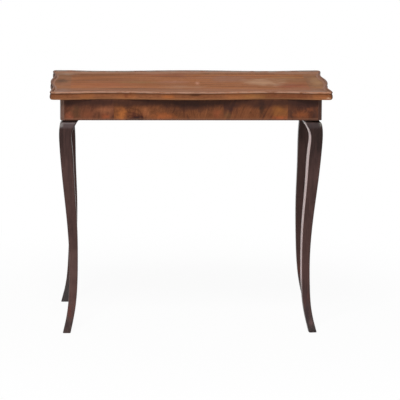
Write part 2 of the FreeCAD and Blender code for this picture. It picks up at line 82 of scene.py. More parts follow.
class TableStudio(bpy.types.PropertyGroup):
    """Camera and light of the plain studio."""
    camera_place: bpy.props.FloatVectorProperty(
        name="Camera", description="Where the camera stands",
        subtype="TRANSLATION", unit="LENGTH", size=3, default=(-0.2392, -8.0455, 1.786))
    camera_heading: bpy.props.FloatProperty(
        name="Heading", description="Turn of the camera to the right of straight ahead",
        subtype="ANGLE", unit="ROTATION", default=0.0340)
    camera_dip: bpy.props.FloatProperty(
        name="Dip", description="How far the camera looks down",
        subtype="ANGLE", unit="ROTATION", default=0.1755)
    camera_tilt: bpy.props.FloatProperty(
        name="Tilt", description="How far the camera leans to one side",
        subtype="ANGLE", unit="ROTATION", default=0.0054)
    camera_lens: bpy.props.FloatProperty(
        name="Lens", description="Focal length in millimetres on a 36 mm wide sensor",
        subtype="NONE", min=20, max=400, default=244.55)
    sky_light: bpy.props.FloatProperty(
        name="Sky light", description="Strength of the even light from all round",
        subtype="FACTOR", min=0, max=2, default=0.22)
    top_lamp: bpy.props.FloatProperty(
        name="Top lamp", description="Power of the broad lamp above the front",
        subtype="NONE", min=0, max=2000, default=200)
    side_lamp: bpy.props.FloatProperty(
        name="Side lamps", description="Power of the two lamps at the front's sides",
        subtype="NONE", min=0, max=2000, default=30)


# ---------------------------------------------------------------- nodes

def add(tree, kind, inputs=(), out=0, **settings):
    """Add a shader node with its settings, link or set its inputs, and give back one of its outputs."""
    node = tree.nodes.new("ShaderNode" + kind)
    stops = settings.pop("stops", ())
    for name, value in settings.items():
        setattr(node, name, value)
    for place, colour in stops[1:-1]:
        node.color_ramp.elements.new(place)
    for element, (place, colour) in zip(node.color_ramp.elements if stops else (), stops):
        element.position = place
        element.color = colour
    for socket, value in dict(inputs).items():
        if isinstance(value, bpy.types.NodeSocket):
            tree.links.new(value, node.inputs[socket])
        else:
            node.inputs[socket].default_value = value
    return node.outputs[out] if node.outputs else node


def shade(colour, share):
    """A linear colour made darker (share under 1) or lighter."""
    return (*(min(1.0, c * share) for c in colour[:3]), 1.0)


def per_metre(length, width, depth=None):
    """Pattern cells in a metre on each axis, for cells of the given size in millimetres."""
    return tuple(1 / (size * MM) for size in (length, width, depth or width))


def cloudy(tree, spot, length, width, depth=None, detail=2.0, roughness=0.5):
    """Soft noise from 0 to 1, with lumps of the given size in millimetres, length along the grain."""
    where = add(tree, "VectorMath", {0: spot, 1: per_metre(length, width, depth)}, operation="MULTIPLY")
    return add(tree, "TexNoise", {"Vector": where, "Scale": 1.0, "Detail": detail, "Roughness": roughness})


def mask(tree, *steps):
    """Product of smooth steps. Each is a value, the places where its step starts and is full, and the
    levels that it goes between where they aren't 0 and 1."""
    result = None
    for value, start, full, *levels in steps:
        bottom, top = levels or (0.0, 1.0)
        step = add(tree, "MapRange", {"Value": value, "From Min": start, "From Max": full, "To Min": bottom,
                                      "To Max": top}, interpolation_type="SMOOTHSTEP")
        result = step if result is None else add(tree, "Math", {0: result, 1: step}, operation="MULTIPLY")
    return result


def hump(value, start, full, fade, end):
    """The two steps of a mask that rises from start to full, and falls again from fade to end."""
    return (value, start, full), (value, end, fade)


def swaying(tree, spot, length, width, sway):
    """Grain that isn't ruled straight: each place moves sideways by up to sway millimetres, in lumps of
    the given size."""
    where = add(tree, "VectorMath", {0: spot, 1: per_metre(length, width)}, operation="MULTIPLY")
    push = add(tree, "TexNoise", {"Vector": where, "Scale": 1.0, "Detail": 1.0}, out="Color")
    centred = add(tree, "VectorMath", {0: push, 1: (0.5, 0.5, 0.5)}, operation="SUBTRACT")
    # Such noise stays within a quarter of its middle, so four times the sway is its full reach.
    reach = (0.0, 4 * sway * MM, 4 * sway * MM)
    return add(tree, "VectorMath", {0: centred, 1: reach, 2: spot}, operation="MULTIPLY_ADD")


def total(tree, *shares):
    """Sum of (value, share) pairs."""
    result = 0.0
    for value, share in shares:
        result = add(tree, "Math", {0: value, 1: share, 2: result}, operation="MULTIPLY_ADD")
    return result


def blot(tree, place, middle, reach, grain):
    """Soft egg-shaped patch, 1 in its middle and 0 outside, with a border that is cloudy and runs out
    along the grain, which shows through it. Sizes in millimetres."""
    away = add(tree, "VectorMath", {0: place, 1: tuple(c * MM for c in middle)}, operation="SUBTRACT")
    away = add(tree, "VectorMath", {0: away, 1: per_metre(*reach)}, operation="MULTIPLY")
    far = add(tree, "VectorMath", {0: away}, out="Value", operation="LENGTH")
    lump = 0.7 * min(reach)
    lumps = cloudy(tree, place, lump, lump, detail=3.0)
    # The lumps and the grain move the border in and out, about a middle of 0.5 each.
    border = total(tree, (far, 1.0), (lumps, 1.6), (grain, 1.6), (1.0, -1.6))
    return mask(tree, (border, 1.25, 0.1), (grain, 0.36, 0.62, 0.7, 1.15))


def stain(tree, under, over, cover, share=1.0):
    """Lay one colour over another, by its share where the cover is 1."""
    cover = add(tree, "Math", {0: cover, 1: share}, operation="MULTIPLY")
    # Sockets 6 and 7 and output 2 are those for colours.
    return add(tree, "Mix", {0: cover, 6: under, 7: over}, out=2, data_type="RGBA")


def mark(tree, under, place, marks, grain):
    """Lay soft patches over a colour, each given by middle and reach in millimetres, colour and share."""
    for middle, reach, colour, share in marks:
        under = stain(tree, under, linear(colour), blot(tree, place, middle, reach, grain), share)
    return under


# Where the painted sheen starts and is full, in metres from the top's middle to its front and back.
FRONT_MARGIN = (-0.105, -0.165)
BACK_MARGIN = (0.195, 0.228)


def sheen_margins(tree, under, place, sheen, share):
    """Painted sheen along the front and back of the tray: a pale haze over the wood, full at the edges,
    with a ragged border. The back is the paler."""
    depth = add(tree, "SeparateXYZ", {0: place}, out="Y")
    ragged = total(tree, (depth, 1.0), (cloudy(tree, place, 150.0, 30.0, detail=3.0), 0.08), (1.0, -0.04))
    under = stain(tree, under, sheen, mask(tree, (ragged, *FRONT_MARGIN)), share)
    return stain(tree, under, shade(sheen, 1.45), mask(tree, (ragged, *BACK_MARGIN)), min(1.0, 1.6 * share))


def along(tree, turn=(0.0, 0.0, 0.0)):
    """Places on the piece, turned so that the wood's length lies along X and its face in X and Y."""
    where = add(tree, "TexCoord", out="Object")
    return add(tree, "Mapping", {"Vector": where, "Rotation": turn})


def new_material(name):
    """A material with an empty node tree."""
    material = bpy.data.materials.new(name)
    material.use_nodes = True
    material.node_tree.nodes.clear()
    return material


def polish(tree, colour, roughness, height, gloss, depth, coat=0.0, coat_roughness=0.2):
    """Wood's surface under its finish: colour, gloss and the fine relief of its pores, depth in
    millimetres. An old coat is thin and worn, so its IOR is under that of fresh shellac."""
    normal = add(tree, "Bump", {"Height": height, "Distance": depth * MM, "Strength": 1.0}, out="Normal")
    shader = add(tree, "BsdfPrincipled", {
        "Base Color": colour, "Roughness": roughness, "Normal": normal, "Specular IOR Level": gloss,
        "Coat Weight": coat, "Coat IOR": 1.2, "Coat Roughness": coat_roughness})
    add(tree, "OutputMaterial", {"Surface": shader})


def walnut(tree, spot, colour, woods, streak=1.0, contrast=1.0, sway=4.0, lump=(340.0, 60.0), ripple=0.0,
           veins=0.5):
    """Sliced walnut: long streaks in three widths that sway together, darker veins of heartwood, a cross
    ripple that shimmers, and short dark pores, drawn 0.9 mm wide so that they show. Returns its colour,
    how much of a pore is at each place, and its streaks."""
    width = woods.streak_width / MM * streak
    bent = swaying(tree, spot, *lump, sway)
    broad = cloudy(tree, spot, 330.0, 75.0)
    bands = cloudy(tree, bent, 46 * width, width, detail=3.0, roughness=0.6)
    lines = cloudy(tree, bent, 26 * width, width / 4, detail=3.0)
    waves = cloudy(tree, spot, 11.0, 46.0, detail=1.0)
    tone = total(tree, (broad, 0.34), (bands, 0.36), (lines, 0.3 - ripple), (waves, ripple))
    # Tones within this spread of the middle fill the whole ramp.
    spread = 0.17 / contrast
    tone = add(tree, "MapRange", {"Value": tone, "From Min": 0.5 - spread, "From Max": 0.5 + spread})
    wood = add(tree, "ValToRGB", {"Fac": tone}, stops=(
        (0.0, shade(colour, 0.52)), (0.35, shade(colour, 0.84)), (0.6, shade(colour, 1.06)),
        (1.0, shade(colour, 1.42))))
    heartwood = mask(tree, (cloudy(tree, bent, 620.0, 3.4 * width, detail=3.0), 0.55, 0.7))
    red, green, blue, alpha = colour
    wood = stain(tree, wood, (red * 0.34, green * 0.30, blue * 0.42, alpha), heartwood, veins)
    pores = mask(tree, (cloudy(tree, bent, woods.pore_length / MM, 0.9, detail=0.0), 0.6, 0.74))
    wood = stain(tree, wood, shade(colour, 0.36), pores, 0.55)
    return wood, pores, total(tree, (bands, 0.6), (lines, 0.4))


def clothe(names, material):
    """Give CAD pieces a material, and let their facets shade smoothly up to their real arrises."""
    for name in names:
        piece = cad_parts[name]
        piece.data.materials.clear()
        piece.data.materials.append(material)
        piece.data.shade_smooth()
        weld = piece.modifiers.new("weld", "WELD")
        weld.merge_threshold = WELD_DISTANCE
        split = piece.modifiers.new("arrises", "EDGE_SPLIT")
        split.split_angle = ARRIS_ANGLE


# ---------------------------------------------------------------- finishes

# Marks on the tray's floor: middle (x, y, z) and reach in millimetres, colour and share. Redder and greyer
# wood, pale patches of painted sheen near the corners and at the right end, a pale patch of painted
# reflection right of the middle, a spill near the middle and a dark smudge at the left end.
FLOOR_MARKS = [
    ((-265, -45, 714), (120, 60, 50), "#9b5130", 0.4),
    ((-40, 160, 714), (60, 60, 50), "#6b4034", 0.4),
    ((120, 90, 714), (80, 75, 50), "#86685c", 0.45),
    ((300, 110, 714), (75, 80, 50), "#9a7145", 0.4),
    ((304, -75, 714), (52, 60, 50), "#873f2c", 0.6),
    ((-78, 205, 714), (110, 50, 50), "#9a5338", 0.4),
    ((-150, 10, 714), (75, 34, 50), "#8a683e", 0.5),
    ((-50, 20, 714), (60, 34, 50), "#a8735d", 0.45),
    ((-20, -100, 714), (90, 40, 50), "#a0785c", 0.4),
    ((-378, -205, 714), (36, 60, 50), "#8f7d7b", 0.6),
    ((-368, 212, 714), (44, 46, 50), "#a08a79", 0.6),
    ((300, 222, 714), (90, 30, 50), "#a57a64", 0.4),
    ((362, -205, 714), (50, 50, 50), "#a38d80", 0.5),
    ((385, 20, 714), (28, 150, 50), "#b0855a", 0.55),
    ((226, 14, 714), (68, 96, 50), "#c09b7b", 0.6),
    ((24, -10, 714), (8, 42, 50), "#c48d74", 0.7),
    ((-382, 40, 714), (24, 55, 50), "#4a3424", 0.8),
]


class TEATABLE_OT_field(bpy.types.Operator):
    """Lay the straight grained walnut of the tray's floor"""
    bl_idname = "teatable.field"
    bl_label = "Field"

    def execute(self, context):
        woods = context.scene.table_woods
        # French polished walnut, worn thin: long even grain, satin, hazy with painted sheen in patches and
        # along the edges.
        material = new_material("worn_walnut_field")
        tree = material.node_tree
        spot = along(tree)
        wood, pores, grain = walnut(tree, spot, woods.field_colour, woods, contrast=1.35, sway=5.0)
        wood = mark(tree, wood, spot, FLOOR_MARKS, grain)
        wood = sheen_margins(tree, wood, spot, woods.painted_sheen_colour, 0.5)
        rough = total(tree, (pores, 0.12), (cloudy(tree, spot, 90.0, 60.0), 0.2), (1.0, 0.42))
        relief = total(tree, (pores, -1.0), (cloudy(tree, spot, 60.0, 2.0), 0.5))
        polish(tree, wood, rough, relief, gloss=0.015, depth=0.08)
        clothe(["field_veneer"], material)
        return {"FINISHED"}


# Turn of the crossbands' grain, in degrees.
CROSSBANDS = {"front": 90, "back": 90, "left": 0, "right": 0}


class TEATABLE_OT_crossbands(bpy.types.Operator):
    """Lay the border of cross-grained walnut"""
    bl_idname = "teatable.crossbands"
    bl_label = "Crossbands"

    def execute(self, context):
        woods = context.scene.table_woods
        # The same walnut laid across, a little duller: its seams show only as a change of grain.
        for side, turn in CROSSBANDS.items():
            material = new_material(f"crossbanded_walnut_{side}")
            tree = material.node_tree
            place = add(tree, "TexCoord", out="Object")
            spot = along(tree, (0.0, 0.0, math.radians(turn)))
            wood, pores, grain = walnut(tree, spot, woods.band_colour, woods, streak=1.2, contrast=0.9,
                                        sway=2.0, veins=0.3)
            wood = mark(tree, wood, place, FLOOR_MARKS, grain)
            wood = sheen_margins(tree, wood, place, woods.painted_sheen_colour, 0.5)
            grime = mask(tree, (cloudy(tree, spot, 60.0, 50.0, detail=3.0), 0.5, 0.75))
            wood = stain(tree, wood, linear("#6b4a3a"), grime, 0.35)
            rough = total(tree, (pores, 0.12), (cloudy(tree, spot, 40.0, 60.0), 0.2), (1.0, 0.42))
            polish(tree, wood, rough, total(tree, (pores, -1.0)), gloss=0.015, depth=0.08)
            clothe([f"crossband_{side}"], material)
        return {"FINISHED"}


# Rim lengths: turn of the grain in degrees, the way it faces, colour and share of the worn bead with its
# painted highlight, gloss, heights where the cove's finish fades and ends, with its colour, which is
# lighter at the two ends as painted light, and marks as for the tray's floor.
RIMS = {
    "front": {
        "turn": 0, "faces": (0, -1, 0), "bead": ("#ad8671", 0.75), "gloss": 0.03,
        "cove": (0.7150, 0.7168, "#8d5c3b"),
        "marks": [
            ((-188, -250, 706), (26, 50, 12), "#5c2a1c", 0.5),
            ((-68, -250, 706), (24, 50, 12), "#a65f31", 0.6),
            ((10, -250, 711), (19, 50, 4), "#2c1710", 0.9),
            ((186, -250, 706), (44, 50, 12), "#93683a", 0.5),
            ((300, -250, 706), (50, 50, 12), "#6d3c25", 0.5),
            ((398, -250, 702), (7, 50, 3), "#c9a58c", 0.8),
        ],
    },
    "back": {"turn": 0, "faces": (0, 1, 0), "bead": ("#8a8078", 1.0), "gloss": 0.03,
             "cove": (0.7150, 0.7168, "#8d5c3b"), "marks": []},
    "left": {"turn": 90, "faces": (-1, 0, 0), "bead": ("#82695f", 0.75), "gloss": 0.004,
             "cove": (0.7178, 0.7192, "#9c7560"), "marks": []},
    "right": {"turn": 90, "faces": (1, 0, 0), "bead": ("#82695f", 0.75), "gloss": 0.004,
              "cove": (0.7178, 0.7192, "#9c7560"), "marks": []},
}

# Heights on the moulding, in metres above the floor: where a finish starts and is full, and where a
# longer row goes on to where it fades and ends.
RIM_HEIGHTS = {
    "worn_highlit_bead": (0.7144, 0.7154),
    "cove": (0.7120, 0.7130),
    "dirty_shaded_quirk": (0.7112, 0.7126, 0.7134, 0.7148),
    "painted_light_underside": (0.704, 0.6985),
    "painted_shade_nosing": (0.7035, 0.7105, 0.7136, 0.7141),
}


class TEATABLE_OT_rims(bpy.types.Operator):
    """Finish the four lengths of moulded rim"""
    bl_idname = "teatable.rims"
    bl_label = "Rims"

    def execute(self, context):
        woods = context.scene.table_woods
        # Walnut moulding, polished: redder and yellower stretches, bead worn pale with a painted highlight,
        # old dirt and painted shade in the quirk.
        for side, finish in RIMS.items():
            material = new_material(f"moulded_walnut_{side}")
            tree = material.node_tree
            place = add(tree, "TexCoord", out="Object")
            height = add(tree, "SeparateXYZ", {0: place}, out="Z")
            facing = add(tree, "TexCoord", out="Normal")
            outward = add(tree, "VectorMath", {0: facing, 1: finish["faces"]}, out="Value",
                          operation="DOT_PRODUCT")
            spot = along(tree, (0.0, 0.0, math.radians(finish["turn"])))
            wood, pores, grain = walnut(tree, spot, woods.rim_colour, woods, streak=0.7, sway=3.0,
                                        ripple=0.1)
            stretches = cloudy(tree, spot, 62.0, 90.0)
            wood = stain(tree, wood, linear("#a8683c"), mask(tree, (stretches, 0.5, 0.66)), 0.35)
            wood = stain(tree, wood, linear("#5e3122"), mask(tree, (stretches, 0.47, 0.34)), 0.4)
            wood = mark(tree, wood, place, finish["marks"], grain)
            # The bead's polish is rubbed through in ragged places, painted pale both as wear and as a
            # highlight.
            rag = cloudy(tree, spot, 26.0, 5.0, detail=5.0, roughness=0.65)
            colour, share = finish["bead"]
            worn_and_highlit = mask(tree, (height, *RIM_HEIGHTS["worn_highlit_bead"]), (rag, 0.3, 0.58))
            wood = stain(tree, wood, linear(colour), worn_and_highlit, share)
            # The cove inside the bead is as the tray's floor, with its painted sheen along the front and
            # back; at the two ends it is painted lighter, as light on its shaded inner face.
            fade, end, colour = finish["cove"]
            cove = mask(tree, *hump(height, *RIM_HEIGHTS["cove"], fade, end), (outward, 0.3, 0.1))
            wood = stain(tree, wood, linear(colour), cove, 0.8)
            wood = stain(tree, wood, sheen_margins(tree, wood, place, woods.painted_sheen_colour, 0.6), cove)
            # Old dirt and painted shade in the quirk under the bead.
            quirk_grime_and_shade = mask(tree, *hump(height, *RIM_HEIGHTS["dirty_shaded_quirk"]), (outward, 0.1, 0.3))
            wood = stain(tree, wood, linear("#2c1a12"), quirk_grime_and_shade, 0.65)
            # The outer faces at the two ends are painted greyer.
            if side in ("left", "right"):
                wood = stain(tree, wood, linear("#5c4c45"), mask(tree, (outward, 0.3, 0.65)), 0.65)
            # Painted light where the nosing rounds in to its underside, and painted shade under the quirk,
            # to even out the nosing's own shading.
            underside_light = mask(tree, (height, *RIM_HEIGHTS["painted_light_underside"]), (outward, 0.1, 0.3))
            wood = stain(tree, wood, linear("#b98257"), underside_light, 0.35)
            nosing_shade = mask(tree, *hump(height, *RIM_HEIGHTS["painted_shade_nosing"]))
            wood = stain(tree, wood, linear("#55301a"), nosing_shade, 0.35)
            rough = total(tree, (pores, 0.1), (quirk_grime_and_shade, 0.3), (1.0, 0.4))
            relief = total(tree, (pores, -1.0), (rag, 0.6))
            polish(tree, wood, rough, relief, gloss=finish["gloss"], depth=0.1)
            clothe([f"rim_{side}"], material)
        return {"FINISHED"}


# Where the frieze's front face stands in Y, and how deep a mark and a knot's rings reach through it, in
# millimetres: far more than the veneer's thickness, so that depth makes no difference to them.
FACE = -230
DEEP = 120
KNOT_DEEP = 400

# Frieze leaves: middle tone, turn of the grain in degrees, sway with the size of its lumps, cross ripple,
# marks as for the tray's floor, and knots as the middle (x, z) and reach (x, z) of their rings. The leaves
# that aren't on the front are plain.
PLAIN_LEAF = {"colour": "#693f28", "turn": 90, "sway": 12.0, "lump": (90.0, 60.0), "ripple": 0.1,
              "marks": [], "knots": []}
LEAVES = {
    "frieze_veneer_front_1": {
        "colour": "#673d2a", "turn": 75, "sway": 12.0, "lump": (90.0, 60.0), "ripple": 0.1,
        "marks": [
            ((-254, FACE, 667), (30, DEEP, 14), "#9b5f40", 0.5),
            ((-249, FACE, 645), (15, DEEP, 9), "#a2512f", 0.5),
            ((-352, FACE, 647), (18, DEEP, 12), "#96523a", 0.5),
            ((-334, FACE, 658), (16, DEEP, 26), "#46321f", 0.65),
            ((-298, FACE, 650), (20, DEEP, 18), "#8a4e33", 0.4),
        ],
        "knots": [],
    },
    "frieze_veneer_front_2": {
        "colour": "#6b3f26", "turn": 84, "sway": 14.0, "lump": (80.0, 55.0), "ripple": 0.12,
        "marks": [
            ((0, FACE, 676), (95, DEEP, 20), "#33201d", 0.7),
            ((76, FACE, 652), (18, DEEP, 16), "#8f4b30", 0.5),
            ((-202, FACE, 649), (17, DEEP, 30), "#ad6634", 0.7),
            ((-80, FACE, 646), (38, DEEP, 12), "#a85a30", 0.5),
            ((-132, FACE, 656), (14, DEEP, 24), "#a5643f", 0.45),
            ((-162, FACE, 641), (38, DEEP, 20), "#55291f", 0.55),
            ((-158, FACE, 637), (28, DEEP, 18), "#180d12", 1.0),
        ],
        "knots": [(-176, 640, 66, 52)],
    },
    "frieze_veneer_front_3": {
        "colour": "#6f4128", "turn": 62, "sway": 7.0, "lump": (110.0, 50.0), "ripple": 0.1,
        "marks": [
            ((106, FACE, 671), (28, DEEP, 24), "#331f1d", 0.85),
            ((104, FACE, 650), (16, DEEP, 14), "#66472c", 0.6),
            ((206, FACE, 674), (12, DEEP, 32), "#2c2019", 0.85),
            ((258, FACE, 662), (28, DEEP, 24), "#99602f", 0.5),
            ((258, FACE, 642), (26, DEEP, 8), "#a8502c", 0.5),
        ],
        "knots": [],
    },
    "frieze_veneer_front_4": {
        "colour": "#5a3524", "turn": 98, "sway": 10.0, "lump": (60.0, 30.0), "ripple": 0.1,
        "marks": [
            ((332, FACE, 680), (40, DEEP, 18), "#2c1b1c", 0.6),
            ((292, FACE, 652), (9, DEEP, 24), "#3d2820", 0.5),
            ((361, FACE, 652), (9, DEEP, 22), "#3a2621", 0.6),
            ((320, FACE, 650), (26, DEEP, 14), "#8f4f2c", 0.55),
            ((344, FACE, 666), (10, DEEP, 6), "#80492f", 0.5),
        ],
        "knots": [(320, 668, 34, 40)],
    },
    "frieze_veneer_back": {**PLAIN_LEAF, "ripple": 0.08},
    "frieze_veneer_left": PLAIN_LEAF,
    "frieze_veneer_right": PLAIN_LEAF,
}

# Heights on the frieze, in metres above the floor: where a finish starts and is full.
FRIEZE_HEIGHTS = {
    "painted_shadow": (0.667, 0.684),
    "painted_shadow_under_rim": (0.6965, 0.69),
    "rubbed_bottom": (0.643, 0.639),
    "shaded_arris": (0.6388, 0.6365),
}


class TEATABLE_OT_frieze(bpy.types.Operator):
    """Lay the figured walnut leaves round the frieze"""
    bl_idname = "teatable.frieze"
    bl_label = "Frieze"

    def rings(self, tree, place, x, z, wide, tall):
        """Cover for a knot's wavy dark rings, which fade away from it. Sizes in millimetres."""
        middle = (x * MM, FACE * MM, z * MM)
        away = add(tree, "VectorMath", {0: place, 1: middle}, operation="SUBTRACT")
        away = add(tree, "VectorMath", {0: away, 1: per_metre(wide, KNOT_DEEP, tall)}, operation="MULTIPLY")
        far = add(tree, "VectorMath", {0: away}, out="Value", operation="LENGTH")
        far = total(tree, (far, 1.0), (cloudy(tree, place, 40.0, KNOT_DEEP, 30.0), 0.5))
        wave = add(tree, "Math", {0: total(tree, (far, 34.0))}, operation="SINE")
        return mask(tree, (far, 1.3, 0.5), (wave, -0.4, 1.0))

    def execute(self, context):
        woods = context.scene.table_woods
        # Stump walnut, polished: each leaf has its own tone, smoky clouds, orange glows and ringed knots.
        for name, leaf in LEAVES.items():
            material = new_material(f"figured_walnut_{name.replace('frieze_veneer_', '')}")
            tree = material.node_tree
            place = add(tree, "TexCoord", out="Object")
            # A leaf at an end is turned to face the front; each is laid flat, and turned to its grain.
            side_on = 90 if name.endswith(("left", "right")) else 0
            spot = place
            for turn in ((0, 0, side_on), (90, 0, 0), (0, 0, leaf["turn"])):
                turn = tuple(math.radians(angle) for angle in turn)
                spot = add(tree, "Mapping", {"Vector": spot, "Rotation": turn})
            tone = linear(leaf["colour"])
            wood, pores, grain = walnut(tree, spot, tone, woods, streak=0.6, contrast=1.1,
                                        sway=leaf["sway"], lump=leaf["lump"], ripple=leaf["ripple"],
                                        veins=0.6)
            for knot in leaf["knots"]:
                wood = stain(tree, wood, shade(tone, 0.35), self.rings(tree, place, *knot), 0.5)
            wood = mark(tree, wood, place, leaf["marks"], grain)
            # Painted shadow under the rim, a little lighter right against it, and the polish rubbed grey
            # along the bottom edge.
            height = add(tree, "SeparateXYZ", {0: place}, out="Z")
            clouds = cloudy(tree, place, 34.0, 34.0, 20.0, detail=3.0)
            ragged = total(tree, (height, 1.0), (clouds, 0.022), (1.0, -0.011))
            painted_shadow = mask(tree, (ragged, *FRIEZE_HEIGHTS["painted_shadow"]),
                         (height, *FRIEZE_HEIGHTS["painted_shadow_under_rim"], 0.7, 1.0))
            wood = stain(tree, wood, linear("#301d19"), painted_shadow, 0.78)
            rub_and_reflection = mask(tree, (height, *FRIEZE_HEIGHTS["rubbed_bottom"]))
            wood = stain(tree, wood, linear("#8a6350"), rub_and_reflection, 0.25)
            # Painted shade on the bottom arris.
            arris_shade = mask(tree, (height, *FRIEZE_HEIGHTS["shaded_arris"]))
            wood = stain(tree, wood, linear("#3a2820"), arris_shade, 0.5)
            rough = total(tree, (pores, 0.12), (cloudy(tree, spot, 60.0, 50.0), 0.14), (1.0, 0.28))
            polish(tree, wood, rough, total(tree, (pores, -1.0)), gloss=0.1, depth=0.08)
            clothe([name], material)
        return {"FINISHED"}


# Rounded corners of the frieze at its two ends: middle tone, and gloss. The left's lighter grey tone is a
# painted highlight, the right's darker tone painted shade.
QUADRANTS = {"left": ("#6c4d40", 0.25), "right": ("#4c3229", 0.12)}


class TEATABLE_OT_quadrants(bpy.types.Operator):
    """Finish the rounded corners of the frieze"""
    bl_idname = "teatable.quadrants"
    bl_label = "Quadrants"

    def execute(self, context):
        woods = context.scene.table_woods
        # Solid walnut quarter rounds, grain upright, glossy enough to catch the light down their curve:
        # painted lighter and greyer at the left end as a highlight, darker at the right as shade.
        for side, (colour, gloss) in QUADRANTS.items():
            material = new_material(f"upright_walnut_quadrant_{side}")
            tree = material.node_tree
            spot = along(tree, (0.0, math.radians(90), 0.0))
            wood, pores, _ = walnut(tree, spot, linear(colour), woods, streak=0.5, sway=2.0, veins=0.4)
            rough = total(tree, (pores, 0.12), (1.0, 0.28))
            polish(tree, wood, rough, total(tree, (pores, -1.0)), gloss=gloss, depth=0.08)
            clothe([f"quadrant_front_{side}", f"quadrant_back_{side}"], material)
        return {"FINISHED"}


# Legs: how light the stain is, shares of the grey rub on the toe, of the painted highlight on the shoulder
# and of the painted reflection on the inner side, and marks as for the tray's floor. Only the leg that
# stands turned has its inner side painted pale as a reflection.
LEGS = {
    "front_left": {
        "names": ["leg_front_left"], "tone": 0.04, "grey_toe": 0.25, "painted_shoulder_highlight": 0.3,
        "painted_reflection_side": 0.0,
        "marks": [
            # Pale spot on the shoulder's outer corner: a painted highlight.
            ((-379, -235, 621), (8, 60, 9), "#8f8b88", 0.6),
            ((-356, -225, 170), (50, 60, 110), "#6e544d", 0.4),
            ((-355, -213, 62), (7, 60, 26), "#6a3429", 0.5),
            ((-365, -213, 22), (12, 60, 14), "#2f2224", 0.7),
        ],
    },
    "front_right": {
        # The turned leg's darker tone is painted shade, as it is turned away from the light.
        "names": ["leg_front_right"], "tone": -0.1, "grey_toe": 0.35, "painted_shoulder_highlight": 0.15,
        "painted_reflection_side": 0.9,
        "marks": [
            # Pale spot on the shoulder's outer corner: a painted highlight.
            ((379, -235, 624), (8, 60, 9), "#8f8f86", 0.6),
            ((350, -225, 100), (50, 60, 60), "#35292a", 0.5),
            ((346, -211, 50), (7, 60, 40), "#2c2226", 0.6),
            ((357, -211, 28), (8, 60, 14), "#6b504f", 0.5),
            ((363, -211, 3), (20, 60, 7), "#241d20", 0.7),
        ],
    },
    "back": {
        "names": ["leg_back_left", "leg_back_right"], "tone": 0.02, "grey_toe": 0.8, "painted_shoulder_highlight": 0.2,
        "painted_reflection_side": 0.0, "marks": [],
    },
}

# Heights on a leg, in metres above the floor, in rows as for the rim.
LEG_HEIGHTS = {
    "toe": (0.085, 0.01),
    "calf": (0.06, 0.45),
    "knee": (0.46, 0.60),
    "scuffed_toe": (0.10, 0.0),
    "grey_toe": (0.11, 0.04),
    "ruddy_shin": (0.03, 0.06, 0.09, 0.16),
    "painted_reflection_side": (0.10, 0.18),
    "painted_shoulder_highlight": (0.608, 0.616, 0.6245, 0.6285),
    "shadowed_joint": (0.6275, 0.6315),
}

# The way that the turned leg's inner side faces, where its painted reflection lies.
REFLECTING_SIDE_FACES = (-0.991, -0.131, 0.0)


